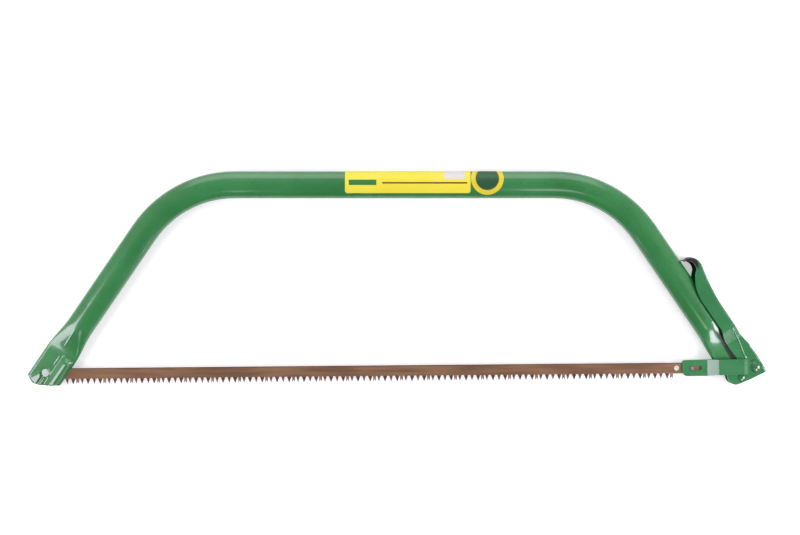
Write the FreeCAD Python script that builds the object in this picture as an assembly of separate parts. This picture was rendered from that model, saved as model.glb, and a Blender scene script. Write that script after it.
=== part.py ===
import FreeCAD, Part
import math
import os
from FreeCAD import Vector

# Bow saw, lying on its side: +X along the blade, +Y from the blade to the top bar,
# +Z out of the side that faces up.  Lengths in millimetres, angles in degrees.
# The saw is mirrored about its blade plane, so heights are given as distances from
# that plane.  Everything is drawn from the left blade pin and moved at the end so
# that the origin is the middle of the footprint, on the surface it lies on.

# ---- Driving dimensions ---------------------------------------------------------

# blade
blade_span = 750.0          # left pin axis to right pin axis
blade_rise = 0.52           # angle of the blade against the top bar
blade_body = 12.7           # back edge to tooth root
blade_thick = 0.9
blade_left_tail = 8.0       # blade past the left pin
blade_right_tail = 12.0     # blade past the right pin
tooth_depth = 6.4
tooth_half_base = 2.1
tooth_half_tip = 0.3
tooth_pitch = 7.1
teeth_per_group = 4
group_gap = 10.2            # last tooth of one group to the first of the next
first_group_at = -4.0       # first tooth tip of the first group, from the left pin
teeth_start = 8.0           # no tooth before this distance from the left pin
teeth_margin = 20.0         # no tooth nearer than this to the right pin
raker_half_width = 2.6
raker_drop = 0.7            # a raker is this much shorter than a tooth
raker_notch = 2.6           # depth of the notch between its two points
spare_hole_back = 17.4      # spare hole from the right pin
spare_hole_radius = 3.0
pin_radius = 1.9
pin_half_length = 3.6

# frame tube
bar_height = 224.0          # top bar axis above the left pin
leg_angle = 55.8            # legs against the top bar
bend_radius = 130.0         # at the tube axis
tube_half_width = 16.1      # in the plane of the saw
tube_half_depth = 9.5       # across the plane of the saw
tube_end_radius = 7.0       # small radius of the oval
tube_wall = 1.2

# left end of the tube: pressed flat, with a channel for the blade pin
seat_inset = 10.6           # left pin from the leg axis
left_flat_half_width = 19.7
left_flat_end_radius = 1.6
left_end_outer = 20.9       # end outline past the pin along the leg: at the outer edge,
left_end_long = 26.2        # at its longest,
left_end_inner = 10.8       # at the inner edge,
left_mouth = 2.3            # and where the inner edge turns to the blade
blade_gap = 0.25            # each side of the blade, between the pressed walls
left_taper_start = 62.0     # before the pin, along the leg
left_taper_end = 20.0
channel_clearance = 0.7     # inner channel radius past the pin's end
channel_start = 19.0        # above the pin, along the leg
channel_taper = 13.0        # length over which the channel rises out of the flat
hang_hole_along = 8.2       # past the pin, along the leg
hang_hole_out = 3.2         # outward from the leg axis
hang_hole_radius = 4.7
slit_half_width = 0.5

# right end of the tube: pressed to a thick tongue for the lever pivot
right_flat_half_width = 17.8
right_flat_half_depth = 4.0
right_flat_end_radius = 3.4
right_taper_start = 64.0    # above the pivot, along the leg
right_taper_end = 30.0
nose_radius = 7.7           # tongue round the pivot
shoulder_along = 3.5        # inner shoulder above the pivot
outer_end_along = -4.0      # outer corner of the tongue

# tension linkage
link_length = 73.8          # right blade pin to the link rivet, lever closed
link_rise = 0.9             # line of pull against the top bar
crank_radius = 20.0         # lever pivot to the link rivet
over_centre = 1.4           # lever pivot below the line of pull
heel_rivet_along = -11.1    # from the lever pivot, up the leg
heel_rivet_out = -2.9

# lever
sheet = 1.5
heel_gap = 4.4              # plane to the inside of the cheeks at the heel
grip_gap = 9.2              # plane to the inside of the cheeks at the handle
cheek_step_start = 31.0     # above the pivot, where the cheeks spread
cheek_step_end = 45.0
lever_edge_radius = 2.5
grip_out = 25.5             # back of the handle from the leg axis
grip_straight_end = 68.0
hook_start_along = 123.4
hook_start_out = 32.3
hook_end_along = 143.8
hook_tip_gap = 0.5          # hook tip to the tube

# blade link, one strap on each side of the blade and of the lever
strap_thick = 1.6
strap_half_width = 9.5
strap_blade_gap = 0.3
bridge_inside = 8.4         # plane to the inside of the raised bridge
eye_lift = 0.3              # strap eye above the cheek
eye_radius = 8.3
joggle_foot = 55.3          # from the link rivet towards the blade
joggle_head = 43.8
bridge_end = 13.8
bridge_foot = 9.0
slot_half_width = 2.7
slot_travel = 8.35          # between the centres of the slot's two round ends
slot_slack = 0.25           # pin to the near end of the slot, lever closed

# rivets and bushes
pivot_shank_radius = 3.0
pivot_head_radius = 5.0
pivot_head_height = 1.7
link_shank_radius = 3.0
link_head_radius = 6.0
link_head_height = 2.3
heel_shank_radius = 1.75
heel_head_radius = 4.5
heel_head_height = 1.6
rivet_rim_share = 0.25      # straight part of a head's height, below the dome
rivet_flat_radius = 0.4     # flat spot on the crown of a head
pivot_bush_radius = 4.0
heel_spacer_radius = 3.2
running_clearance = 0.05    # radial, shafts that turn
fixed_clearance = 0.02      # radial or axial, parts clamped together
head_clearance = 0.1        # under the pivot heads, so that the lever turns

# labels on the top bar, from the middle of the bar
label_middle = 16.0
label_length = 148.0
label_low_edge = -10.4      # below the bar axis, on the front
label_back_edge = 4.0       # above the bar axis, on the back
label_corner = 3.0
label_thick = 0.2
sticker_middle = 109.8
sticker_height = 6.9
sticker_radius = 19.3
sticker_back = -7.0         # how far round the top edge the sticker reaches

# ---- Derived places -------------------------------------------------------------

plane_z = Vector(0, 0, 1)


def direction(angle):
    return Vector(math.cos(math.radians(angle)), math.sin(math.radians(angle)), 0)


pin_left = Vector(0, 0, 0)
blade_along = direction(blade_rise)
blade_up = direction(blade_rise + 90)
pin_right = pin_left + blade_along * blade_span

link_along = direction(link_rise)
link_up = direction(link_rise + 90)
link_pivot = pin_right + link_along * link_length
crank_reach = math.sqrt(crank_radius ** 2 - over_centre ** 2)
lever_pivot = link_pivot - link_along * crank_reach - link_up * over_centre

left_down = direction(180 + leg_angle)
left_in = direction(leg_angle - 90)
right_up = direction(180 - leg_angle)
right_out = direction(90 - leg_angle)

left_foot = pin_left - left_in * seat_inset
left_leg = (bar_height - left_foot.y) / math.sin(math.radians(leg_angle))
right_leg = (bar_height - lever_pivot.y) / math.sin(math.radians(leg_angle))
left_corner = left_foot - left_down * left_leg
right_corner = lever_pivot + right_up * right_leg
bend_tangent = bend_radius * math.tan(math.radians(leg_angle / 2))
bar_middle = (left_corner + right_corner) * 0.5

left_flat_half_depth = blade_thick / 2 + blade_gap + tube_wall
channel_inner = pin_half_length + channel_clearance
channel_outer = channel_inner + tube_wall
cheek_outside = heel_gap + sheet
strap_low_inside = blade_thick / 2 + strap_blade_gap
eye_inside = cheek_outside + eye_lift
heel_rivet_at = lever_pivot + right_up * heel_rivet_along + right_out * heel_rivet_out
far = 60.0                  # past anything that a cut has to clear

# ---- Helpers --------------------------------------------------------------------


def plan(origin, along, across):
    """Map plan coordinates of a piece to the drawing."""
    def point(a, b, z=0.0):
        return origin + along * a + across * b + plane_z * z
    return point


on_left = plan(left_foot, left_down, left_in)
on_right = plan(lever_pivot, right_up, right_out)
on_blade = plan(pin_left, blade_along, blade_up)
on_link = plan(link_pivot, link_along, link_up)


def line(a, b):
    return Part.LineSegment(a, b).toShape()


def arc(a, b, c):
    return Part.Arc(a, b, c).toShape()


def prism(wire, low, high):
    """Solid between two heights over a closed plan outline."""
    face = Part.Face(wire)
    face.translate(plane_z * low)
    return face.extrude(plane_z * (high - low))


def polygon(points):
    return Part.makePolygon(points + [points[0]])


def rounded_polygon(points, radii):
    """Closed plan outline with each corner rounded by its own radius."""
    count = len(points)
    cuts = []
    for i in range(count):
        corner = points[i]
        back = (points[i - 1] - corner).normalize()
        ahead = (points[(i + 1) % count] - corner).normalize()
        half = back.getAngle(ahead) / 2
        radius = radii[i]
        reach = radius / math.tan(half)
        middle = corner + (back + ahead).normalize() * (radius / math.sin(half) - radius)
        cuts.append((corner + back * reach, middle, corner + ahead * reach))
    edges = []
    for i in range(count):
        start, middle, end = cuts[i]
        if radii[i] > 0:
            edges.append(arc(start, middle, end))
        edges.append(line(end, cuts[(i + 1) % count][0]))
    return Part.Wire(edges)


def oval(centre, side, half_width, half_depth, end_radius):
    """Four-arc oval across the tube: half_width along side, half_depth along Z."""
    reach = half_width - end_radius
    rise = half_depth - end_radius
    drop = (reach ** 2 - rise ** 2) / (2 * rise)
    span = math.hypot(reach, drop)
    tx = reach + end_radius * reach / span
    tz = end_radius * drop / span

    def point(x, z):
        return centre + side * x + plane_z * z
    return Part.Wire([
        arc(point(tx, -tz), point(half_width, 0), point(tx, tz)),
        arc(point(tx, tz), point(0, half_depth), point(-tx, tz)),
        arc(point(-tx, tz), point(-half_width, 0), point(-tx, -tz)),
        arc(point(-tx, -tz), point(0, -half_depth), point(tx, -tz)),
    ])


def tube_section(centre, side, grow=0.0):
    return oval(centre, side, tube_half_width + grow, tube_half_depth + grow,
                tube_end_radius + grow)


def hollow_face(centre, side):
    outer = Part.Face(tube_section(centre, side))
    inner = Part.Face(tube_section(centre, side, -tube_wall))
    return outer.cut(inner).Faces[0]


def drum(centre, radius, low, high):
    return Part.makeCylinder(radius, high - low, centre + plane_z * low, plane_z)


def through(centre, radius):
    return drum(centre, radius, -far, far)


def both_sides(shape):
    return shape.mirror(Vector(0, 0, 0), plane_z)


def rivet(centre, shank_radius, seat, head_radius, head_height):
    """Shank with a domed head on each side; seat is the height of the head's underside."""
    def corner(x, z):
        return centre + Vector(x, 0, z)
    top = seat + head_height
    rim = seat + head_height * rivet_rim_share
    rise = top - rim
    ball = (head_radius ** 2 + rise ** 2) / (2 * rise)
    half_turn = math.asin(head_radius / ball) / 2
    bulge_x = ball * math.sin(half_turn)
    bulge_z = top - ball + ball * math.cos(half_turn)
    flat = rivet_flat_radius
    crown = top - ball + math.sqrt(ball ** 2 - flat ** 2)
    outline = Part.Wire([
        line(corner(0, -crown), corner(0, crown)),
        line(corner(0, crown), corner(flat, crown)),
        arc(corner(flat, crown), corner(bulge_x, bulge_z), corner(head_radius, rim)),
        line(corner(head_radius, rim), corner(head_radius, seat)),
        line(corner(head_radius, seat), corner(shank_radius, seat)),
        line(corner(shank_radius, seat), corner(shank_radius, -seat)),
        line(corner(shank_radius, -seat), corner(head_radius, -seat)),
        line(corner(head_radius, -seat), corner(head_radius, -rim)),
        arc(corner(head_radius, -rim), corner(bulge_x, -bulge_z), corner(flat, -crown)),
        line(corner(flat, -crown), corner(0, -crown)),
    ])
    return Part.Face(outline).revolve(centre, plane_z, 360)

# ---- Frame tube -----------------------------------------------------------------


def taper(point, side, start, end, flat_width, flat_depth, flat_end, wall):
    """Tube from its oval to the pressed section, along one leg."""
    steps = 8
    wires = []
    for i in range(steps + 1):
        share = i / steps
        blend = share * share * (3 - 2 * share)
        half_width = tube_half_width + (flat_width - tube_half_width) * blend - wall
        half_depth = tube_half_depth + (flat_depth - tube_half_depth) * blend - wall
        end_radius = tube_end_radius + (flat_end - tube_end_radius) * blend - wall
        centre = point(start + (end - start) * share, 0)
        wires.append(oval(centre, side, half_width, half_depth, end_radius))
    return Part.makeLoft(wires, True, False)


def hollow_taper(point, side, start, end, flat_width, flat_depth, flat_end):
    outer = taper(point, side, start, end, flat_width, flat_depth, flat_end, 0)
    inner = taper(point, side, start, end, flat_width, flat_depth, flat_end, tube_wall)
    return outer.cut(inner)


def left_end():
    """Flat end with the pin channel, the blade slot, the hang hole and the slit."""
    room = blade_thick / 2 + blade_gap
    run = left_down * (left_taper_end + far)
    start = on_left(-left_taper_end, 0)
    outer = Part.Face(oval(start, left_in, left_flat_half_width, left_flat_half_depth,
                           left_flat_end_radius)).extrude(run)
    inner = Part.Face(oval(start, left_in, left_flat_half_width - tube_wall,
                           left_flat_half_depth - tube_wall,
                           left_flat_end_radius - tube_wall)).extrude(run)
    tail = on_left(-channel_start, seat_inset)
    head = on_left(-channel_start + channel_taper, seat_inset)
    length = channel_start + far
    rib = Part.makeCylinder(channel_outer, length, head, left_down)
    rib = rib.fuse(Part.makeCone(left_flat_half_depth / 2, channel_outer, channel_taper,
                                 tail, left_down))
    bore = Part.makeCylinder(channel_inner, length, head, left_down)
    bore = bore.fuse(Part.makeCone(room / 2, channel_inner, channel_taper,
                                   tail, left_down))
    rib.rotate(head, left_down, 90)
    bore.rotate(head, left_down, 90)
    shell = outer.fuse(rib).cut(inner.fuse(bore))
    half = left_flat_half_width
    outline = rounded_polygon(
        [on_left(-far, -far), on_left(left_end_outer, -far), on_left(left_end_outer, -half),
         on_left(left_end_long, -0.47 * half), on_left(left_end_long - 2.2, -0.07 * half),
         on_left(left_end_inner, half), on_left(left_mouth, half + 0.6),
         on_left(left_mouth, far), on_left(-far, far)],
        [0, 0, 3.5, 4.0, 8.0, 3.0, 0, 0, 0])
    shell = shell.common(prism(outline, -far, far))
    slot_top = on_blade(0, blade_body / 2 + 1.0)
    slot = Part.makeBox(far, far, 2 * room, Vector(pin_radius, slot_top.y - far, -room))
    slot.rotate(Vector(0, 0, 0), plane_z, blade_rise)
    shell = shell.cut(slot)
    hole_at = on_left(hang_hole_along, -hang_hole_out)
    shell = shell.cut(through(hole_at, hang_hole_radius))
    slit = prism(polygon([
        on_left(hang_hole_along, -hang_hole_out - slit_half_width),
        on_left(hang_hole_along + far, -hang_hole_out - slit_half_width),
        on_left(hang_hole_along + far, -hang_hole_out + slit_half_width),
        on_left(hang_hole_along, -hang_hole_out + slit_half_width)]), -far, far)
    return shell.cut(slit)


def right_end():
    """Thick flat tongue that carries the lever pivot between the cheeks."""
    run = right_up * -(right_taper_end + far)
    start = on_right(right_taper_end, 0)
    outer = Part.Face(oval(start, right_out, right_flat_half_width, right_flat_half_depth,
                           right_flat_end_radius)).extrude(run)
    inner = Part.Face(oval(start, right_out, right_flat_half_width - tube_wall,
                           right_flat_half_depth - tube_wall,
                           right_flat_end_radius - tube_wall)).extrude(run)
    body = prism(rounded_polygon(
        [on_right(far, -far), on_right(shoulder_along, -far), on_right(shoulder_along, 0),
         on_right(outer_end_along, 0), on_right(outer_end_along, right_flat_half_width),
         on_right(0, far), on_right(far, far)],
        [0, 0, 0, 0, 2.0, 0, 0]), -far, far)
    keep = body.fuse(through(lever_pivot, nose_radius))
    tongue = outer.cut(inner).common(keep)
    return tongue.cut(through(lever_pivot, pivot_bush_radius + fixed_clearance))


def frame_tube():
    bar_start = left_corner + Vector(bend_tangent, 0, 0)
    bar_end = right_corner - Vector(bend_tangent, 0, 0)
    up = Vector(0, 1, 0)
    bar = hollow_face(bar_start, up).extrude(bar_end - bar_start)
    drop = Vector(0, -bend_radius, 0)
    left_bend = hollow_face(bar_start, up).revolve(bar_start + drop, plane_z, leg_angle)
    right_bend = hollow_face(bar_end, up).revolve(bar_end + drop, plane_z, -leg_angle)
    left_top = left_corner + left_down * bend_tangent
    right_top = right_corner - right_up * bend_tangent
    left_run = on_left(-left_taper_start, 0) - left_top
    right_run = on_right(right_taper_start, 0) - right_top
    left_straight = hollow_face(left_top, left_in).extrude(left_run)
    right_straight = hollow_face(right_top, right_out).extrude(right_run)
    left_taper = hollow_taper(on_left, left_in, -left_taper_start, -left_taper_end,
                              left_flat_half_width, left_flat_half_depth,
                              left_flat_end_radius)
    right_taper = hollow_taper(on_right, right_out, right_taper_start, right_taper_end,
                               right_flat_half_width, right_flat_half_depth,
                               right_flat_end_radius)
    return bar.multiFuse([left_bend, right_bend, left_straight, right_straight,
                          left_taper, right_taper, left_end(), right_end()])

# ---- Blade and its pins ---------------------------------------------------------


def tooth(x, root, tip):
    return [(x - tooth_half_base, root), (x - tooth_half_tip, tip),
            (x + tooth_half_tip, tip), (x + tooth_half_base, root)]


def raker(x, root, tip):
    low = tip + raker_drop
    side = raker_half_width
    inner = raker_half_width * 0.5
    return [(x - side, root), (x - side + tooth_half_tip, low), (x - inner, low),
            (x, low + raker_notch), (x + inner, low), (x + side - tooth_half_tip, low),
            (x + side, root)]


def tooth_line():
    """Lower edge of the blade: groups of pointed teeth with a raker in each gap."""
    root = -blade_body / 2
    tip = root - tooth_depth
    period = (teeth_per_group - 1) * tooth_pitch + group_gap
    limit = blade_span - teeth_margin
    points = []
    group = first_group_at
    while group < limit:
        for i in range(teeth_per_group):
            x = group + i * tooth_pitch
            if teeth_start < x < limit:
                points += tooth(x, root, tip)
        x = group + (teeth_per_group - 1) * tooth_pitch + group_gap / 2
        if teeth_start < x < limit:
            points += raker(x, root, tip)
        group += period
    return points


def blade():
    half = blade_body / 2
    right = blade_span + blade_right_tail
    outline = [(-blade_left_tail, half), (-blade_left_tail, -half)] + tooth_line()
    outline += [(right, -half), (right, half)]
    solid = prism(polygon([on_blade(x, y) for x, y in outline]),
                  -blade_thick / 2, blade_thick / 2)
    fit = pin_radius + fixed_clearance
    solid = solid.cut(through(pin_left, fit)).cut(through(pin_right, fit))
    spare = on_blade(blade_span - spare_hole_back, 0)
    return solid.cut(through(spare, spare_hole_radius))


def blade_pin(centre):
    pin = drum(centre, pin_radius, -pin_half_length, pin_half_length)
    return pin.makeFillet(0.4, [e for e in pin.Edges if e.Curve.TypeId == 'Part::GeomCircle'])

# ---- Tension lever --------------------------------------------------------------


def lever_back():
    """Open outline of the lever's back wall, from the heel corner to the hook tip."""
    heel = on_right(-21.3, grip_out + 1.1)
    heel_mid = on_right(5.0, grip_out + 2.6)
    neck = on_right(33.4, grip_out)
    straight = on_right(grip_straight_end, grip_out)
    sweep = on_right(98.0, grip_out + 2.1)
    hook = on_right(hook_start_along, hook_start_out)
    hook_mid = on_right(136.5, hook_start_out - 1.3)
    crown = on_right(hook_end_along, 22.2)
    tip = on_right(hook_end_along, tube_half_width + hook_tip_gap)
    return [arc(heel, heel_mid, neck), line(neck, straight), arc(straight, sweep, hook),
            arc(hook, hook_mid, crown), line(crown, tip)]


def lever_outline():
    """Closed plan outline of a cheek."""
    tip = on_right(hook_end_along, tube_half_width + hook_tip_gap)
    under = on_right(hook_end_along - 2.4, tube_half_width + hook_tip_gap + 0.2)
    crook = on_right(124.5, 23.7)
    front = [
        line(tip, under),
        arc(under, on_right(133.5, 25.6), crook),
        arc(crook, on_right(116.5, 16.4), on_right(104.0, 10.6)),
        arc(on_right(104.0, 10.6), on_right(96.0, 8.8), on_right(86.0, 8.4)),
        line(on_right(86.0, 8.4), on_right(50.0, 8.6)),
        arc(on_right(50.0, 8.6), on_right(43.5, 6.6), on_right(37.0, 5.0)),
        line(on_right(37.0, 5.0), on_right(11.0, 5.6)),
        line(on_right(11.0, 5.6), on_right(6.0, -9.0)),
        arc(on_right(6.0, -9.0), on_right(3.6, -13.4), on_right(-1.0, -15.8)),
    ]
    lobe = [
        arc(on_right(-1.0, -15.8), on_right(-11.2, -15.4), on_right(-15.6, -8.0)),
        line(on_right(-15.6, -8.0), on_right(-18.3, 5.5)),
        line(on_right(-18.3, 5.5), on_right(-21.3, grip_out + 1.1)),
    ]
    return Part.Wire(lever_back() + front + lobe)


def lever_profile(extra):
    """Side profile of the lever, at extra outside the inner faces of the cheeks."""
    low = heel_gap + extra
    high = grip_gap + extra
    upper = [(-far, low), (cheek_step_start, low), (cheek_step_end, high), (4 * far, high)]
    points = upper + [(a, -z) for a, z in reversed(upper)]
    wire = polygon([on_right(a, -far, z) for a, z in points])
    return Part.Face(wire).extrude(right_out * (2 * far))


def edges_along(shape, wall, least_height):
    """Edges of a blank that run along a plan line, above or below a height."""
    picked = []
    for edge in shape.Edges:
        middle = edge.valueAt((edge.FirstParameter + edge.LastParameter) / 2)
        points = [middle] + [vertex.Point for vertex in edge.Vertexes]
        gaps = [Part.Vertex(point.x, point.y, 0).distToShape(wall)[0] for point in points]
        if max(gaps) < 0.01 and abs(middle.z) > least_height:
            picked.append(edge)
    return picked


def tension_lever():
    """Pressed channel: a back wall and two cheeks that straddle the tube."""
    blank = prism(lever_outline(), -far, far).common(lever_profile(sheet))
    back = Part.Wire(lever_back())
    blank = blank.makeFillet(lever_edge_radius, edges_along(blank, back, heel_gap))
    inner_back = back.makeOffset2D(-sheet, 0, False, True)
    ends = [v.Point for v in inner_back.OrderedVertexes]
    if (ends[0] - lever_pivot).Length > (ends[-1] - lever_pivot).Length:
        ends.reverse()
    room = [line(ends[-1], on_right(hook_end_along - sheet, -far)),
            line(on_right(hook_end_along - sheet, -far), on_right(-far, -far)),
            line(on_right(-far, -far), on_right(-far, grip_out)),
            line(on_right(-far, grip_out), ends[0])]
    cavity = prism(Part.Wire(Part.__sortEdges__(inner_back.Edges + room)), -far, far)
    lever = blank.cut(cavity.common(lever_profile(0)))
    lever = lever.cut(through(lever_pivot, pivot_shank_radius + running_clearance))
    lever = lever.cut(through(link_pivot, link_shank_radius + running_clearance))
    return lever.cut(through(heel_rivet_at, heel_shank_radius + fixed_clearance))

# ---- Blade link -----------------------------------------------------------------


def strap_outline():
    """Plan outline of a strap: square end at the blade, round eye at the lever."""
    half = strap_half_width
    end = -link_length - 11.1
    body = prism(rounded_polygon(
        [on_link(end, half), on_link(end, -half), on_link(-joggle_foot, -half),
         on_link(-joggle_head, -half + 1.3), on_link(-bridge_foot + 4.0, -half + 1.4),
         on_link(-bridge_foot + 4.0, half + 0.7), on_link(-joggle_head, half + 0.5)],
        [3.5, 6.0, 0, 0, 2.5, 4.0, 0]), -far, far)
    return body.fuse(through(link_pivot, eye_radius))


def strap_profile():
    """Side profile of the front strap: low at the blade, raised bridge, low eye."""
    inside = [(-link_length - far, strap_low_inside), (-joggle_foot, strap_low_inside),
              (-joggle_head, bridge_inside), (-bridge_end, bridge_inside),
              (-bridge_foot, eye_inside), (far, eye_inside)]
    outside = [(a, z + strap_thick) for a, z in reversed(inside)]
    wire = polygon([on_link(a, -far, z) for a, z in inside + outside])
    return Part.Face(wire).extrude(link_up * (2 * far))


def strap_slot():
    near = -link_length - slot_slack - pin_radius + slot_half_width
    farther = near + slot_travel
    half = slot_half_width
    straight = prism(polygon([on_link(near, -half), on_link(farther, -half),
                              on_link(farther, half), on_link(near, half)]), -far, far)
    return straight.multiFuse([through(on_link(near, 0), half),
                               through(on_link(farther, 0), half)])


def strap_front():
    strap = strap_profile().common(strap_outline())
    strap = strap.cut(strap_slot())
    return strap.cut(through(link_pivot, link_shank_radius + fixed_clearance))

# ---- Bushes, rivets, labels -----------------------------------------------------


def sleeve(centre, outer_radius, inner_radius, half_length):
    ring = drum(centre, outer_radius, -half_length, half_length)
    return ring.cut(through(centre, inner_radius))


def skin(start, end):
    """Thin shell on the outside of the top bar between two places along it."""
    up = Vector(0, 1, 0)
    run = Vector(end - start, 0, 0)
    at = bar_middle + Vector(start, 0, 0)
    outer = Part.Face(tube_section(at, up, fixed_clearance + label_thick)).extrude(run)
    return outer.cut(Part.Face(tube_section(at, up, fixed_clearance)).extrude(run))


def bar_label():
    start = label_middle - label_length / 2
    end = label_middle + label_length / 2
    at = plan(bar_middle, Vector(1, 0, 0), Vector(0, 1, 0))
    front = prism(rounded_polygon(
        [at(start, far), at(start, label_low_edge), at(end, label_low_edge), at(end, far)],
        [0, label_corner, label_corner, 0]), 0, far)
    rear = prism(rounded_polygon(
        [at(start, far), at(start, label_back_edge), at(end, label_back_edge), at(end, far)],
        [0, label_corner, label_corner, 0]), -far, 0)
    return skin(start, end).common(front.fuse(rear))


def round_sticker():
    start = sticker_middle - sticker_radius - 1
    end = sticker_middle + sticker_radius + 1
    centre = bar_middle + Vector(sticker_middle, sticker_height, 0)
    above = Part.makeBox(end - start, far, 2 * far, bar_middle + Vector(start, 0, -far))
    disc = drum(centre, sticker_radius, 0, far)
    tail = drum(centre, sticker_radius, sticker_back, 0).common(above)
    return skin(start, end).common(disc.fuse(tail))

# ---- Assembly -------------------------------------------------------------------

front_strap = strap_front()
nodes = {
    "frame_tube": frame_tube(),
    "blade": blade(),
    "blade_pin_left": blade_pin(pin_left),
    "blade_pin_right": blade_pin(pin_right),
    "pivot_bush": sleeve(lever_pivot, pivot_bush_radius, pivot_shank_radius + fixed_clearance,
                         heel_gap - head_clearance),
    "pivot_rivet": rivet(lever_pivot, pivot_shank_radius, cheek_outside + head_clearance,
                         pivot_head_radius, pivot_head_height),
    "tension_lever": tension_lever(),
    "heel_spacer": sleeve(heel_rivet_at, heel_spacer_radius,
                          heel_shank_radius + fixed_clearance, heel_gap - fixed_clearance),
    "heel_rivet": rivet(heel_rivet_at, heel_shank_radius, cheek_outside + fixed_clearance,
                        heel_head_radius, heel_head_height),
    "strap_front": front_strap,
    "strap_rear": both_sides(front_strap),
    "link_rivet": rivet(link_pivot, link_shank_radius,
                        eye_inside + strap_thick + fixed_clearance,
                        link_head_radius, link_head_height),
    "bar_label": bar_label(),
    "round_sticker": round_sticker(),
}

box = FreeCAD.BoundBox()
for shape in nodes.values():
    box.add(shape.optimalBoundingBox(False))
to_origin = Vector(-box.Center.x, -box.Center.y, -box.ZMin)

os.makedirs("parts", exist_ok=True)
for name, shape in nodes.items():
    shape.translate(to_origin)
    shape.exportStep("parts/" + name + ".step")
    print(name, "solids", len(shape.Solids), "valid", shape.isValid(),
          "volume", round(shape.Volume, 1))

print("size", round(box.XLength, 2), round(box.YLength, 2), round(box.ZLength, 2))
places = {"lever_pivot": lever_pivot, "link_pivot": link_pivot, "pin_left": pin_left,
          "pin_right": pin_right, "bar_middle": bar_middle,
          "hang_hole": on_left(hang_hole_along, -hang_hole_out)}
for name, place in places.items():
    at = place + to_origin
    print(name, round(at.x, 3), round(at.y, 3), round(at.z, 3))
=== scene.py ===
import math

import bmesh
import bpy
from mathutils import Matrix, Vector

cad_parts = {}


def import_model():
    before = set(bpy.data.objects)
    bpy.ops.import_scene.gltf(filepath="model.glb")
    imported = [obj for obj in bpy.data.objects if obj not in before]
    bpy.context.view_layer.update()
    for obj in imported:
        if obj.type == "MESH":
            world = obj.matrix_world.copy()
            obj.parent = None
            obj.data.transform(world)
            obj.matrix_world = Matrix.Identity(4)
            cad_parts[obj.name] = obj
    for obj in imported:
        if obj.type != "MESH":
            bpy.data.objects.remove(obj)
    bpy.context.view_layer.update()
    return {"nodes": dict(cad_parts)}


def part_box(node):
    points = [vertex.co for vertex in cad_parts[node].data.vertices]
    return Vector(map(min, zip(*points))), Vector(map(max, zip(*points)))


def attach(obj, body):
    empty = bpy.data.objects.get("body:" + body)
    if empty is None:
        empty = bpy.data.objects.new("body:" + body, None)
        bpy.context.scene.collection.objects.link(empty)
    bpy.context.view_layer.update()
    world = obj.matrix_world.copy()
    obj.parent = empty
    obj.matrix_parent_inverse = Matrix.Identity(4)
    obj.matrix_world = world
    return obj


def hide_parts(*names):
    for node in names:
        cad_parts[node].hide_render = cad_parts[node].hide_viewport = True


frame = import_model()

# Bow saw, lying on its side on a pale floor and seen from straight above.
# Lengths in millimetres, multiplied by MM where they go into Blender.

MM = 0.001

# ---- Driving dimensions ---------------------------------------------------------

# camera
LENS = 50.0                 # mm, on a 36 mm sensor
SENSOR = 36.0
VIEW_WIDTH = 948.8          # across the picture, at the blade plane
VIEW_FROM_BLADE = (29.5, 122.5)     # picture centre from the middle of the blade
CLIP_END = 100000.0

# floor
FLOOR_SIZE = 24000.0
FLOOR_CELLS = 4
FLOOR_ALBEDO = 0.7
FLOOR_GRAIN = 0.01          # how far that wanders either way
FLOOR_LIFT = 0.47           # added to what the camera sees of the floor
FAR_LIFT = 0.76             # the same, far from the saw, where only the room lights it
FAR_FROM = (800.0, 2600.0)  # distance over which one becomes the other

# room; a direction's upward and sideways parts run from -1 to 1
WORLD_LOW = 0.6             # brightness near the horizon
WORLD_HIGH = 0.32           # and overhead
WORLD_RISE = (0.2, 1.0)     # upward part over which one becomes the other
WORLD_NEAR = 0.1            # share of it on the blade's side of the saw
WORLD_FAR = 1.7             # and on the bar's side
BACKDROP_FADE = (0.25, 0.4)     # upward part over which the white backdrop ends

# lamps: name, place, aim, size, power in watts, tint
WHITE = (1.0, 1.0, 1.0)
COOL = (0.93, 0.84, 1.0)
LAMPS = (
    ("left_window", (-1200, -150, 800), (-200, -100, 0), (600, 800), 9.5, COOL),
    ("right_window", (1450, -150, 950), (400, -100, 0), (600, 600), 14.0, COOL),
    ("corner_window", (850, -700, 950), (400, -100, 0), (400, 400), 5.5, COOL),
    ("top_box", (0, 1500, 1100), (0, 0, 0), (2200, 900), 8.0, WHITE),
    ("left_lamp", (-430, -550, 950), (-300, 0, 0), (180, 180), 0.3, WHITE),
    ("right_lamp", (350, -370, 950), (250, 0, 0), (180, 180), 0.3, WHITE),
)

# frame
TUBE_HALF_WIDTH = 16.1

# marks on the bar's label: colour; start and end, from the left end or, below zero, from
# the right one; low and high, from the bar's axis
LABEL_MARKS = (
    ("dcdad6", -31.0, -6.5, 6.4, 50.0),     # blank panel, up to the label's edge
    ("2f7d3e", 4.5, 37.0, -1.0, 5.4),       # plain block
    ("6f5a22", 44.0, -4.0, 0.6, 2.6),       # rule
)
STICKER_HEIGHT = 6.9        # middle of the round sticker above the bar's axis
STICKER_DISC = 13.6         # radius of its green disc
STICKER_RING = 14.2         # and where its yellow ring starts, past a thin ochre line

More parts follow.
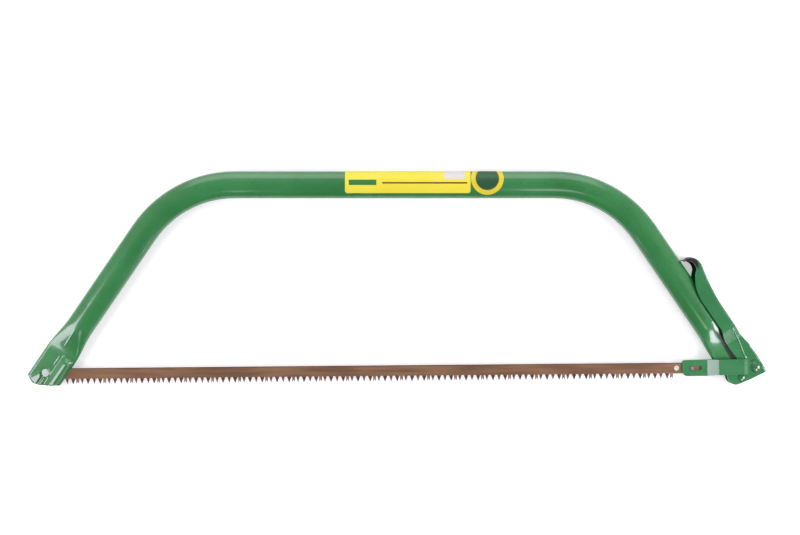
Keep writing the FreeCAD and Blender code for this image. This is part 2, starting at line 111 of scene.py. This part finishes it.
# pressed left end; along the leg from the pin, and across it towards the blade
LEG_ANGLE = 55.8
SEAT_INSET = 10.6           # left pin from the leg's axis
SKIN_FROM = -98.0
SKIN_TO = 27.0
SKIN_HALF = 19.6
SKIN_STEP = 0.8
SKIN_LIFT = 0.3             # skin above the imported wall
SKIN_UNDER = 0.8            # its underside below that wall
SKIN_SMOOTH = 14            # rounds of smoothing
SKIN_WALL = 1.5             # lowest packed wall it covers, above the middle plane
SKIN_RAMP = 30.0            # length over which it rises out of the leg
RAMP_TUCK = 0.35            # how far it is sunk where the ramp starts
RIM_TUCK = (0.6, 0.1, 0.0, 0.0)     # how far it is sunk at its rim, and 1, 2 and 3 steps in
FLAT_TOP = 1.85             # top wall of the pressed flat above the middle plane
SWELLING = ((3.2, 0.0), (8.6, 3.4), (9.4, 3.8), (12.6, 4.7), (13.8, 4.7), (18.0, 0.3),
            (19.6, 0.0))    # across the leg and up, over the pin channel
SWELLING_FROM = -25.0
SWELLING_FULL = -14.0
CHANNEL_HALF = 8.6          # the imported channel, levelled before the swelling is added
CHANNEL_FROM = -18.0
CREASES = ((-57.0, -29.0, -1.0), (-21.0, -3.5, 0.6))    # start and end along, and across
CREASE_HALF = 0.95
CREASE_HEIGHT = 0.5
CREASE_FADE = 6.0
FLAP_FOLD = ((9.4, -8.7), (22.6, -15.7))    # the bent tab beside the slit
FLAP_SLIT = -3.7
FLAP_SLOPE = 0.25
FLAP_EASE = 1.6

# painted shade, nearly black, on the inner band of the lever's hook: its edge line X + slant * Y,
# and its lower end
HOOK_SLANT = 0.28
HOOK_EDGE = 360.0
HOOK_BLUR = 1.2
HOOK_FROM = 12.0
HOOK_FADE = 3.0

# painted shade, nearly black, on the right tongue where it runs into the lever's channel: its
# line's direction and distance, and its top
TONGUE_TURN = 31.2
TONGUE_EDGE = 288.6
TONGUE_BLUR = 0.8
TONGUE_TOP = -60.0
TONGUE_FADE = 5.0

# beads pressed into the lever's cheek, in plan
CHEEK_BEADS = (
    ((393.3, -55.5), (399.5, -65.0), (404.6, -75.5), (409.4, -88.5), (413.5, -95.0)),
    ((402.9, -66.8), (408.0, -70.4), (413.5, -76.0), (419.3, -83.0)),
)
BEAD_HALF = 1.3
BEAD_HEIGHT = 0.75
BEAD_END_HEIGHT = 0.1
BEAD_SUNK = 0.15
BEAD_STEPS = 8              # between two points of a line
BEAD_TAPER = 5              # steps over which an end rises
BEAD_SIDES = 8              # round the ridge

# blade
BLADE_BODY = 12.7
BLADE_LEFT_TAIL = 8.0
BLADE_RIGHT_TAIL = 12.0
PIN_HOLE_RADIUS = 1.92
SPARE_HOLE_BACK = 17.4      # from the right pin
SPARE_HOLE_RADIUS = 3.0
HOLE_STEPS = 28
BACK_CHAMFER = 0.8
CREST_SHARE = 0.4           # of the chamfer, taken off each side of the back edge
TOOTH_DEPTH = 6.4
TOOTH_HALF_BASE = 2.55
TOOTH_HALF_TIP = 0.12
TOOTH_PITCH = 7.2
TEETH_PER_GROUP = 4
GROUP_GAP = 10.4            # between groups, with a raker in the middle
FIRST_GROUP_AT = -4.5
TEETH_START = 8.0
TEETH_MARGIN = 20.0
TOOTH_SET = 0.55            # sideways lean of a tip
TOOTH_BEVEL = 1.1           # ground facet, narrowing one face of a tooth
TOOTH_SHORT = 0.6           # share of the bevel by which that face's tip is shorter
GULLET_RISE = 0.5
GULLET_STEPS = (0.25, 0.5, 0.75)
RAKER_HALF_WIDTH = 1.9
RAKER_DROP = 0.7            # its tips above those of the teeth
RAKER_NOTCH = 2.6
RAKER_TAPER = 0.4           # its outer tips in from its root
RAKER_LIP = 0.3             # its inner tips above the outer ones
# how each kind of face differs from the bronze: 1 is dark and -1 freshly ground; the hole walls
# are darkened as painted shade
TONES = {"tooth": 0.68, "raker": -0.12, "root": -0.3, "ground": -0.9, "hole": 0.3,
         "back": 0.8}

# ---- Places from the frame ------------------------------------------------------


def middle(node):
    """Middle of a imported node's box, in millimetres."""
    low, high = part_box(node)
    return (low + high) / 2 / MM


pin_left = middle("blade_pin_left")
pin_right = middle("blade_pin_right")
blade_along = (pin_right - pin_left).normalized()
blade_up = Vector((-blade_along.y, blade_along.x, 0))
blade_span = (pin_right - pin_left).length
blade_low, blade_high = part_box("blade")
blade_half = (blade_high.z - blade_low.z) / MM / 2
plane_height = pin_left.z
bar_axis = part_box("frame_tube")[1].y / MM - TUBE_HALF_WIDTH

# ---- Material helpers -----------------------------------------------------------


class Nodes:
    """The node tree of a material or world, and short ways of adding to it."""

    def __init__(self, owner, coordinates):
        owner.use_nodes = True
        self.tree = owner.node_tree
        self.place = self.add("ShaderNodeTexCoord").outputs[coordinates]

    def add(self, kind, **values):
        """A node; each value is one of its properties or, failing that, of its inputs."""
        node = self.tree.nodes.new(kind)
        for key, value in values.items():
            if hasattr(node, key):
                setattr(node, key, value)
            else:
                node.inputs[key].default_value = value
        return node

    def link(self, start, end):
        self.tree.links.new(start, end)

    def feed(self, socket, value):
        """Puts a plain value, or another node's output, into an input."""
        if isinstance(value, bpy.types.NodeSocket):
            self.link(value, socket)
        else:
            socket.default_value = value

    def noise(self, scale, detail=3.0, stretch=(1.0, 1.0, 1.0)):
        spread = self.add("ShaderNodeMapping", Scale=stretch)
        self.link(self.place, spread.inputs["Vector"])
        node = self.add("ShaderNodeTexNoise", Scale=scale, Detail=detail)
        self.link(spread.outputs["Vector"], node.inputs["Vector"])
        return node.outputs["Fac"]

    def ranged(self, value, source, target=(0.0, 1.0)):
        """Value carried from one range to another, and held at its ends."""
        node = self.add("ShaderNodeMapRange")
        names = ("From Min", "From Max", "To Min", "To Max")
        for name, limit in zip(names, (*source, *target)):
            self.feed(node.inputs[name], limit)
        self.link(value, node.inputs["Value"])
        return node.outputs["Result"]

    def mix(self, share, first, second):
        node = self.add("ShaderNodeMix", data_type="RGBA")
        colours = [socket for socket in node.inputs if socket.type == "RGBA"]
        for socket, value in zip(colours, (first, second)):
            self.feed(socket, value)
        self.feed(node.inputs["Factor"], share)
        return [socket for socket in node.outputs if socket.type == "RGBA"][0]

    def calc(self, operation, *values):
        node = self.add("ShaderNodeMath", operation=operation)
        for socket, value in zip(node.inputs, values):
            self.feed(socket, value)
        return node.outputs["Value"]

    def axes(self):
        """Outputs X, Y and Z of the coordinates."""
        node = self.add("ShaderNodeSeparateXYZ")
        self.link(self.place, node.inputs["Vector"])
        return node.outputs


class Finish(Nodes):
    """A material with its principled shader."""

    def __init__(self, name):
        self.material = bpy.data.materials.new(name)
        super().__init__(self.material, "Object")
        self.shader = self.tree.nodes["Principled BSDF"]

    def set(self, **values):
        for key, value in values.items():
            socket = key.replace("_", " ").title().replace("Ior", "IOR")
            self.feed(self.shader.inputs[socket], value)

    def bump(self, height, strength, distance):
        node = self.add("ShaderNodeBump", Strength=strength, Distance=distance * MM)
        self.link(height, node.inputs["Height"])
        self.set(normal=node.outputs["Normal"])


def colour(text):
    """Linear colour from an sRGB hex code."""
    channels = [int(text[i:i + 2], 16) / 255 for i in (0, 2, 4)]
    linear = [c / 12.92 if c <= 0.04045 else ((c + 0.055) / 1.055) ** 2.4 for c in channels]
    return (*linear, 1.0)


def enamel(name, light, dark, roughness, painted_shade=None):
    """Sprayed gloss paint: cloudy depth, faint orange peel, a few dull patches.

    The last argument, when given, takes the finish and its paint and lays painted shade over part
    of it.
    """
    m = Finish(name)
    cloud = m.ranged(m.noise(scale=14.0, detail=4.0), (0.35, 0.65))
    grain = m.ranged(m.noise(scale=420.0, detail=2.0), (0.3, 0.7), (0.0, 0.22))
    paint = m.mix(cloud, colour(dark), colour(light))
    paint = m.mix(grain, paint, colour(dark))
    # painted shade laid over the paint where the part asks for it
    if painted_shade:
        paint = painted_shade(m, paint)
    dull = m.ranged(m.noise(scale=45.0, detail=5.0), (0.35, 0.7),
                    (roughness - 0.05, roughness + 0.08))
    m.bump(m.noise(scale=650.0, detail=2.0), strength=0.25, distance=0.05)
    m.set(base_color=paint, roughness=dull, specular_ior_level=0.4,
          coat_weight=1.0, coat_roughness=0.12, coat_ior=1.6)
    return m.material


def painted_tongue_shade(m, paint):
    """Painted shade, nearly black, on the tongue where it runs into the lever's channel."""
    place = m.axes()
    turn = math.radians(TONGUE_TURN)
    reach = m.calc("ADD", m.calc("MULTIPLY", place["X"], math.cos(turn)),
                   m.calc("MULTIPLY", place["Y"], math.sin(turn)))
    past = m.ranged(reach, ((TONGUE_EDGE - TONGUE_BLUR) * MM, (TONGUE_EDGE + TONGUE_BLUR) * MM))
    low = m.ranged(place["Y"], ((TONGUE_TOP + TONGUE_FADE) * MM,
                                (TONGUE_TOP - TONGUE_FADE) * MM))
    return m.mix(m.calc("MULTIPLY", past, low), paint, colour("0c2414"))


def painted_hook_shade(m, paint):
    """Painted shade, nearly black, on the hooked end's thin band inside the channel."""
    place = m.axes()
    slant = m.calc("ADD", place["X"], m.calc("MULTIPLY", place["Y"], HOOK_SLANT))
    band = m.ranged(slant, ((HOOK_EDGE - HOOK_BLUR) * MM, (HOOK_EDGE + HOOK_BLUR) * MM),
                    (1.0, 0.0))
    high = m.ranged(place["Y"], ((HOOK_FROM - HOOK_FADE) * MM, (HOOK_FROM + HOOK_FADE) * MM))
    return m.mix(m.calc("MULTIPLY", band, high), paint, colour("151a12"))


def pin_finish():
    """Bare steel with fine lines along the pin."""
    m = Finish("pin_metal")
    lines = m.noise(scale=900.0, detail=4.0, stretch=(1.0, 1.0, 0.1))
    share = m.ranged(m.calc("ADD", lines, m.noise(scale=30.0, detail=4.0)), (0.75, 1.25))
    m.bump(lines, strength=0.2, distance=0.03)
    m.set(base_color=m.mix(share, colour("8f8f94"), colour("c9c9cc")), metallic=1.0,
          roughness=m.ranged(lines, (0.3, 0.7), (0.24, 0.44)))
    return m.material


def blade_finish():
    """Bronze-brown tempered steel, dark hardened teeth, a dark line on the back edge."""
    m = Finish("blade_bronze")
    streaks = m.noise(scale=260.0, detail=5.0, stretch=(0.06, 1.0, 1.0))
    patches = m.noise(scale=16.0, detail=4.0, stretch=(1.0, 2.5, 1.0))
    share = m.ranged(m.calc("ADD", streaks, patches), (0.8, 1.2))
    body = m.mix(share, colour("6e513a"), colour("8b694c"))
    tone = m.add("ShaderNodeAttribute", attribute_name="tone").outputs["Fac"]
    body = m.mix(m.ranged(tone, (0.0, 1.0)), body, colour("2e211c"))
    body = m.mix(m.ranged(tone, (0.0, -1.0)), body, colour("c9bdb4"))
    scratches = m.noise(scale=1500.0, detail=2.0, stretch=(0.08, 1.0, 1.0))
    m.bump(scratches, strength=0.25, distance=0.02)
    m.set(base_color=body, roughness=m.ranged(streaks, (0.3, 0.7), (0.5, 0.64)),
          metallic=0.2, specular_ior_level=0.35)
    return m.material


def print_film(m, film, roughness):
    """Surface of a printed film of the given colour."""
    m.bump(m.noise(scale=220.0, detail=2.0), strength=0.15, distance=0.05)
    m.set(base_color=film, roughness=m.ranged(m.noise(scale=60.0), (0.3, 0.7), roughness))
    return m.material


def label_finish():
    """Yellow film with a blank white panel, a plain green block and a thin rule."""
    m = Finish("label_film")
    place = m.axes()
    low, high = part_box("bar_label")

    def inside(value, start, end):
        return m.calc("MULTIPLY", m.calc("GREATER_THAN", value, start * MM),
                      m.calc("LESS_THAN", value, end * MM))

    def along(distance):
        return distance + (low.x if distance >= 0 else high.x) / MM

    film = m.mix(m.noise(scale=25.0), colour("eadb28"), colour("f2e850"))
    for tint, start, end, bottom, top in LABEL_MARKS:
        mark = m.calc("MULTIPLY", inside(place["X"], along(start), along(end)),
                      inside(place["Y"], bar_axis + bottom, bar_axis + top))
        film = m.mix(mark, film, colour(tint))
    return print_film(m, film, (0.28, 0.4))


def sticker_finish():
    """Yellow ring round a plain dark green disc."""
    m = Finish("sticker_film")
    place = m.axes()
    low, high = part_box("round_sticker")
    across = m.calc("SUBTRACT", place["X"], (low.x + high.x) / 2)
    up = m.calc("SUBTRACT", place["Y"], (bar_axis + STICKER_HEIGHT) * MM)
    reach = m.calc("SQRT", m.calc("ADD", m.calc("MULTIPLY", across, across),
                                  m.calc("MULTIPLY", up, up)))
    film = m.mix(m.noise(scale=40.0), colour("1d4a2c"), colour("2a5c38"))
    for radius, tint in ((STICKER_DISC, "b9a23a"), (STICKER_RING, "e2cd30")):
        film = m.mix(m.calc("GREATER_THAN", reach, radius * MM), film, colour(tint))
    return print_film(m, film, (0.26, 0.38))


# the frame's and the hook's paint carry painted shade where they run into the lever's channel
frame_green = enamel("frame_green", "308445", "217435", 0.3, painted_tongue_shade)
hook_green_shaded = enamel("hook_green_shaded", "32834b", "24733c", 0.26, painted_hook_shade)
lever_green = enamel("lever_green", "32834b", "24733c", 0.26)
rivet_green = enamel("rivet_green", "29723d", "1d6131", 0.24)
pin_metal = pin_finish()

FINISHES = {
    "frame_tube": frame_green,
    "tension_lever": hook_green_shaded,
    "strap_front": lever_green,
    "strap_rear": lever_green,
    "pivot_rivet": rivet_green,
    "heel_rivet": rivet_green,
    "link_rivet": rivet_green,
    "blade_pin_left": pin_metal,
    "blade_pin_right": pin_metal,
    "pivot_bush": pin_metal,
    "heel_spacer": pin_metal,
    "bar_label": label_finish(),
    "round_sticker": sticker_finish(),
}
for node, material in FINISHES.items():
    frame["nodes"][node].material_slots[0].material = material

# ---- Mesh helpers ---------------------------------------------------------------


def put_mesh(name, bm, material, body, smooth_angle=None):
    """Object from a bmesh in millimetres, riding on a body."""
    mesh = bpy.data.meshes.new(name)
    bmesh.ops.scale(bm, vec=(MM, MM, MM), verts=bm.verts)
    bmesh.ops.recalc_face_normals(bm, faces=bm.faces)
    bm.to_mesh(mesh)
    bm.free()
    piece = bpy.data.objects.new(name, mesh)
    bpy.context.scene.collection.objects.link(piece)
    mesh.materials.append(material)
    if smooth_angle is not None:
        mesh.shade_smooth()
        mesh.set_sharp_from_angle(angle=math.radians(smooth_angle))
    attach(piece, body)
    return piece


def top_of(node, spot):
    """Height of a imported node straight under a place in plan, or None beside it."""
    above = Vector((spot.x * MM, spot.y * MM, 1.0))
    hit, where, _, _ = frame["nodes"][node].ray_cast(above, Vector((0, 0, -1)))
    return where.z / MM if hit else None

# ---- Blade ----------------------------------------------------------------------


def tooth_rows():
    """Middle of each tooth and raker along the blade: (place, kind, lean)."""
    group_length = (TEETH_PER_GROUP - 1) * TOOTH_PITCH
    limit = blade_span - TEETH_MARGIN
    rows = []
    start = FIRST_GROUP_AT
    while start < limit:
        for i in range(TEETH_PER_GROUP):
            rows.append((start + i * TOOTH_PITCH, "tooth", 1 if i % 2 else -1))
        rows.append((start + group_length + GROUP_GAP / 2, "raker", 0))
        start += group_length + GROUP_GAP
    return [row for row in rows if TEETH_START < row[0] < limit]


def tooth_points(x, lean, side):
    """A tooth's outline on one face; the face it leans away from is ground narrower."""
    root = -BLADE_BODY / 2
    bevel = 0.0 if lean == side else TOOTH_BEVEL
    half = TOOTH_HALF_BASE - bevel
    tip = root - TOOTH_DEPTH + bevel * TOOTH_SHORT
    shift = lean * TOOTH_SET
    return [(x - half, root, 0), (x - TOOTH_HALF_TIP, tip, shift),
            (x + TOOTH_HALF_TIP, tip, shift), (x + half, root, 0)]


def raker_points(x):
    """A raker's outline: two tips with a notch between them."""
    root = -BLADE_BODY / 2
    low = root - TOOTH_DEPTH + RAKER_DROP
    half = RAKER_HALF_WIDTH
    outer = half - RAKER_TAPER
    inner = half * 0.5
    return [(x - half, root, 0), (x - outer, low, 0), (x - inner, low + RAKER_LIP, 0),
            (x, low + RAKER_NOTCH, 0),
            (x + inner, low + RAKER_LIP, 0), (x + outer, low, 0), (x + half, root, 0)]


def blade_mesh():
    """Plate with chamfered back, holes, and set and ground teeth, toned face by face."""
    bm = bmesh.new()
    tone = bm.faces.layers.float.new("tone")
    half = BLADE_BODY / 2
    start = -BLADE_LEFT_TAIL
    end = blade_span + BLADE_RIGHT_TAIL
    holes = [(0, PIN_HOLE_RADIUS), (blade_span, PIN_HOLE_RADIUS),
             (blade_span - SPARE_HOLE_BACK, SPARE_HOLE_RADIUS)]

    def vert(x, y, z):
        place = pin_left + blade_along * x + blade_up * y
        return bm.verts.new((place.x, place.y, plane_height + z))

    def face(corners, value=0.0):
        made = bm.faces.new(corners)
        made[tone] = value

    def fill(loops, value=0.0):
        edges = []
        for loop in loops:
            for first, second in zip(loop, loop[1:] + loop[:1]):
                edges.append(bm.edges.get((first, second)) or bm.edges.new((first, second)))
        for made in bmesh.ops.triangle_fill(bm, use_beauty=True, edges=edges)["geom"]:
            if isinstance(made, bmesh.types.BMFace):
                made[tone] = value

    def side_faces(side):
        """One face of the blade: plate outline, hanging teeth, and rings of holes."""
        z = side * blade_half
        root_line = []
        hanging = []
        last = None
        for x, kind, lean in tooth_rows():
            points = raker_points(x) if kind == "raker" else tooth_points(x, lean, side)
            if last is not None:
                gap = points[0][0] - last
                for share in GULLET_STEPS:
                    rise = GULLET_RISE * (1 - (2 * share - 1) ** 2)
                    root_line.append(vert(last + gap * share, -half + rise, z))
            ring = [vert(px, py, z + shift) for px, py, shift in points]
            root_line += [ring[0], ring[-1]]
            hanging.append((ring, kind))
            last = points[-1][0]
        back = half - BACK_CHAMFER
        outline = [vert(start, back, z), vert(start, -half, z), *root_line,
                   vert(end, -half, z), vert(end, back, z)]
        turns = [2 * math.pi * i / HOLE_STEPS for i in range(HOLE_STEPS)]
        rings = [[vert(x + radius * math.cos(t), radius * math.sin(t), z) for t in turns]
                 for x, radius in holes]
        fill([outline] + rings)
        for ring, kind in hanging:
            fill([ring], TONES[kind])
        return outline, hanging, rings

    front, front_teeth, front_rings = side_faces(1)
    rear, rear_teeth, rear_rings = side_faces(-1)
    roots = {(ring[0], ring[-1]) for ring, _ in front_teeth}
    for i in range(1, len(front) - 2):
        if (front[i], front[i + 1]) not in roots:
            face((front[i], front[i + 1], rear[i + 1], rear[i]), TONES["root"])
    for (ring, _), (ring_rear, _) in zip(front_teeth, rear_teeth):
        for i in range(len(ring) - 1):
            face((ring[i], ring[i + 1], ring_rear[i + 1], ring_rear[i]), TONES["ground"])
    # hole walls take the hole tone, a painted shade
    for ring, ring_rear in zip(front_rings, rear_rings):
        for i in range(len(ring)):
            j = (i + 1) % len(ring)
            face((ring[i], ring[j], ring_rear[j], ring_rear[i]), TONES["hole"])
    crest = blade_half - BACK_CHAMFER * CREST_SHARE
    crown = [vert(start, half, crest), vert(end, half, crest),
             vert(end, half, -crest), vert(start, half, -crest)]
    face(crown, TONES["back"])
    face((front[0], front[-1], crown[1], crown[0]), TONES["back"])
    face((rear[0], rear[-1], crown[2], crown[3]), TONES["back"])
    face((front[0], front[1], rear[1], rear[0], crown[3], crown[0]))
    face((front[-2], front[-1], crown[1], crown[2], rear[-1], rear[-2]))
    return bm


saw_blade = put_mesh("saw_blade", blade_mesh(), blade_finish(), "frame")
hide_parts("blade")

# ---- Beads on the lever ---------------------------------------------------------


def curve_through(points):
    """Smooth line through points in plan."""
    places = [Vector((*point, 0)) for point in points]
    line = []
    for i in range(len(places) - 1):
        before = places[max(i - 1, 0)]
        after = places[min(i + 2, len(places) - 1)]
        first = (places[i + 1] - before) / 2
        second = (after - places[i]) / 2
        for k in range(BEAD_STEPS):
            t = k / BEAD_STEPS
            line.append(places[i] * (2 * t**3 - 3 * t**2 + 1) + first * (t**3 - 2 * t**2 + t)
                        + places[i + 1] * (3 * t**2 - 2 * t**3) + second * (t**3 - t**2))
    line.append(places[-1])
    return line


def bead(line, node):
    """Low rounded ridge along a line in plan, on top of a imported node."""
    bm = bmesh.new()
    rings = []
    last = len(line) - 1
    for i, spot in enumerate(line):
        ahead = (line[min(i + 1, last)] - line[max(i - 1, 0)]).normalized()
        side = Vector((-ahead.y, ahead.x, 0))
        base = top_of(node, spot) - BEAD_SUNK
        rise = BEAD_END_HEIGHT + BEAD_HEIGHT * min(1.0, i / BEAD_TAPER, (last - i) / BEAD_TAPER)
        ring = []
        for turn in range(BEAD_SIDES + 1):
            angle = math.pi * turn / BEAD_SIDES
            place = spot + side * BEAD_HALF * math.cos(angle)
            ring.append(bm.verts.new((place.x, place.y, base + rise * math.sin(angle))))
        rings.append(ring)
    for ring, follow in zip(rings, rings[1:]):
        for j in range(len(ring)):
            k = (j + 1) % len(ring)
            bm.faces.new((ring[j], ring[k], follow[k], follow[j]))
    bm.faces.new(rings[0])
    bm.faces.new(rings[-1])
    return bm


for number, points in enumerate(CHEEK_BEADS, 1):
    ridge = put_mesh(f"cheek_bead_{number}", bead(curve_through(points), "tension_lever"),
                     lever_green, "lever", 50)

# ---- Pressed left end -----------------------------------------------------------

leg_turn = math.radians(LEG_ANGLE)
left_down = Vector((-math.cos(leg_turn), -math.sin(leg_turn), 0))
left_in = Vector((math.sin(leg_turn), -math.cos(leg_turn), 0))
left_foot = pin_left - left_in * SEAT_INSET


def ease(value, start, end):
    """0 to 1 between start and end, level at both."""
    share = min(max((value - start) / (end - start), 0.0), 1.0)
    return share * share * (3 - 2 * share)


def pressed_height(along, across):
    """What the press adds to the smoothed top wall: creases, channel swelling and tab."""
    extra = 0.0
    for start, end, line in CREASES:
        if start < along < end:
            ends = ease(along, start, start + CREASE_FADE) * ease(-along, -end, -end + CREASE_FADE)
            extra += CREASE_HEIGHT * ends * max(0.0, 1 - abs(across - line) / CREASE_HALF)
    for (b0, z0), (b1, z1) in zip(SWELLING, SWELLING[1:]):
        if b0 <= across < b1:
            height = z0 + (z1 - z0) * (across - b0) / (b1 - b0)
            extra += height * ease(along, SWELLING_FROM, SWELLING_FULL)
    (a0, b0), (a1, b1) = FLAP_FOLD
    beyond = ((across - b0) * (a1 - a0) - (along - a0) * (b1 - b0)) / math.hypot(a1 - a0, b1 - b0)
    if across < FLAP_SLIT and beyond > 0:
        from_corner = left_down * (along - a1) + left_in * (across - b1)
        extra += FLAP_SLOPE * max(0.0, from_corner.x) * ease(beyond, 0, FLAP_EASE)
    return extra


def leg_place(i, j):
    """Along and across the leg of a grid point of the skin."""
    return SKIN_FROM + i * SKIN_STEP, -SKIN_HALF + j * SKIN_STEP


def spot_at(along, across):
    return left_foot + left_down * along + left_in * across


def wall_heights():
    """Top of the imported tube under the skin's grid, with the pin channel levelled."""
    heights = {}
    for i in range(int((SKIN_TO - SKIN_FROM) / SKIN_STEP) + 1):
        for j in range(int(2 * SKIN_HALF / SKIN_STEP) + 1):
            along, across = leg_place(i, j)
            height = top_of("frame_tube", spot_at(along, across))
            if height is None or height <= plane_height + SKIN_WALL:
                continue
            if along > CHANNEL_FROM and abs(across - SEAT_INSET) < CHANNEL_HALF:
                height = min(height, plane_height + FLAT_TOP)
            heights[i, j] = height
    return heights


def pressed_skin():
    """Smooth top wall of the pressed end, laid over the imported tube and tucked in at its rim."""
    heights = wall_heights()
    around = [(-1, 0), (1, 0), (0, -1), (0, 1), (0, 0)]
    steps_in = {}
    for i, j in heights:
        steps = 0
        while steps < len(RIM_TUCK) - 1 and all(
                (i + di * (steps + 1), j + dj * (steps + 1)) in heights for di, dj in around):
            steps += 1
        steps_in[i, j] = steps
    for _ in range(SKIN_SMOOTH):
        smooth = {}
        for (i, j), height in heights.items():
            near = [heights[i + di, j + dj] for di, dj in around if (i + di, j + dj) in heights]
            smooth[i, j] = sum(near) / len(near) if steps_in[i, j] else height
        heights = smooth
    bm = bmesh.new()
    top = {}
    under = {}
    for (i, j), height in heights.items():
        along, across = leg_place(i, j)
        place = spot_at(along, across)
        ramp = RAMP_TUCK * (1 - ease(along, SKIN_FROM, SKIN_FROM + SKIN_RAMP))
        z = height + SKIN_LIFT - RIM_TUCK[steps_in[i, j]] - ramp
        if steps_in[i, j]:
            z += pressed_height(along, across)
        top[i, j] = bm.verts.new((place.x, place.y, z))
        under[i, j] = bm.verts.new((place.x, place.y, height - SKIN_UNDER))
    cells = {(i, j) for i, j in top
             if (i + 1, j) in top and (i, j + 1) in top and (i + 1, j + 1) in top}
    for i, j in sorted(cells):
        ring = [(i, j), (i + 1, j), (i + 1, j + 1), (i, j + 1)]
        bm.faces.new([top[key] for key in ring])
        bm.faces.new([under[key] for key in reversed(ring)])
        sides = {(i, j - 1): (ring[0], ring[1]), (i + 1, j): (ring[1], ring[2]),
                 (i, j + 1): (ring[2], ring[3]), (i - 1, j): (ring[3], ring[0])}
        for other, (first, second) in sides.items():
            if other not in cells:
                bm.faces.new((top[second], top[first], under[first], under[second]))
    bmesh.ops.delete(bm, geom=[v for v in bm.verts if not v.link_faces], context="VERTS")
    return bm


end_skin = put_mesh("pressed_end", pressed_skin(), frame_green, "frame", 50)

# ---- Stage ----------------------------------------------------------------------


def floor_finish():
    """White paper: takes shadow as it is, and reads white to the camera."""
    m = Finish("floor_paper")
    low = FLOOR_ALBEDO - FLOOR_GRAIN
    high = FLOOR_ALBEDO + FLOOR_GRAIN
    paper = m.mix(m.noise(scale=3.0), (low, low, low, 1), (high, high, high, 1))
    reach = m.add("ShaderNodeVectorMath", operation="LENGTH")
    m.link(m.place, reach.inputs["Vector"])
    lift = m.ranged(reach.outputs["Value"], (FAR_FROM[0] * MM, FAR_FROM[1] * MM),
                    (FLOOR_LIFT, FAR_LIFT))
    path = m.add("ShaderNodeLightPath").outputs
    seen = m.calc("MULTIPLY", path["Is Camera Ray"], lift)
    mirrored = m.calc("MULTIPLY", path["Is Glossy Ray"], FLOOR_LIFT)
    m.set(base_color=paper, roughness=0.9, specular_ior_level=0.1,
          emission_color=(*WHITE, 1), emission_strength=m.calc("MAXIMUM", seen, mirrored))
    return m.material


def floor():
    bm = bmesh.new()
    bmesh.ops.create_grid(bm, x_segments=FLOOR_CELLS, y_segments=FLOOR_CELLS,
                          size=FLOOR_SIZE / 2 * MM)
    mesh = bpy.data.meshes.new("floor")
    bm.to_mesh(mesh)
    bm.free()
    piece = bpy.data.objects.new("floor", mesh)
    mesh.materials.append(floor_finish())
    bpy.context.scene.collection.objects.link(piece)


def softbox(name, place, aim, size, power, tint):
    """Rectangular lamp at a place, turned to its aim."""
    data = bpy.data.lights.new(name, "AREA")
    data.color = tint
    data.shape = "RECTANGLE"
    data.size, data.size_y = (side * MM for side in size)
    data.energy = power
    lamp = bpy.data.objects.new(name, data)
    bpy.context.scene.collection.objects.link(lamp)
    lamp.location = Vector(place) * MM
    away = (Vector(place) - Vector(aim)).normalized()
    lamp.rotation_mode = "QUATERNION"
    lamp.rotation_quaternion = away.to_track_quat("Z", "Y")


def world():
    """White low down, where the picture sees it; a soft room, brighter on the bar's side."""
    room = bpy.data.worlds.new("room")
    bpy.context.scene.world = room
    n = Nodes(room, "Generated")
    direction = n.axes()
    path = n.add("ShaderNodeLightPath").outputs
    seen = n.calc("MAXIMUM", path["Is Camera Ray"], path["Is Glossy Ray"])
    seen = n.calc("MAXIMUM", seen, path["Is Transmission Ray"])
    backdrop = n.calc("MULTIPLY", seen, n.ranged(direction["Z"], BACKDROP_FADE, (1.0, 0.0)))
    soft = n.calc("MULTIPLY", n.ranged(direction["Z"], WORLD_RISE, (WORLD_LOW, WORLD_HIGH)),
                  n.ranged(direction["Y"], (-1.0, 1.0), (WORLD_NEAR, WORLD_FAR)))
    back = n.tree.nodes["Background"].inputs
    n.feed(back["Strength"], n.calc("MAXIMUM", backdrop, soft))
    n.feed(back["Color"], (*WHITE, 1))


def camera():
    """Straight above the picture's centre, wide enough at the blade plane."""
    data = bpy.data.cameras.new("camera")
    data.lens = LENS
    data.sensor_width = SENSOR
    data.clip_end = CLIP_END * MM
    piece = bpy.data.objects.new("camera", data)
    bpy.context.scene.collection.objects.link(piece)
    height = plane_height + VIEW_WIDTH * LENS / SENSOR
    aim = (pin_left + pin_right) / 2 + Vector((*VIEW_FROM_BLADE, 0))
    piece.location = Vector((aim.x, aim.y, height)) * MM
    bpy.context.scene.camera = piece


floor()
world()
camera()
for lamp in LAMPS:
    softbox(*lamp)
bpy.context.scene.view_settings.view_transform = "Standard"
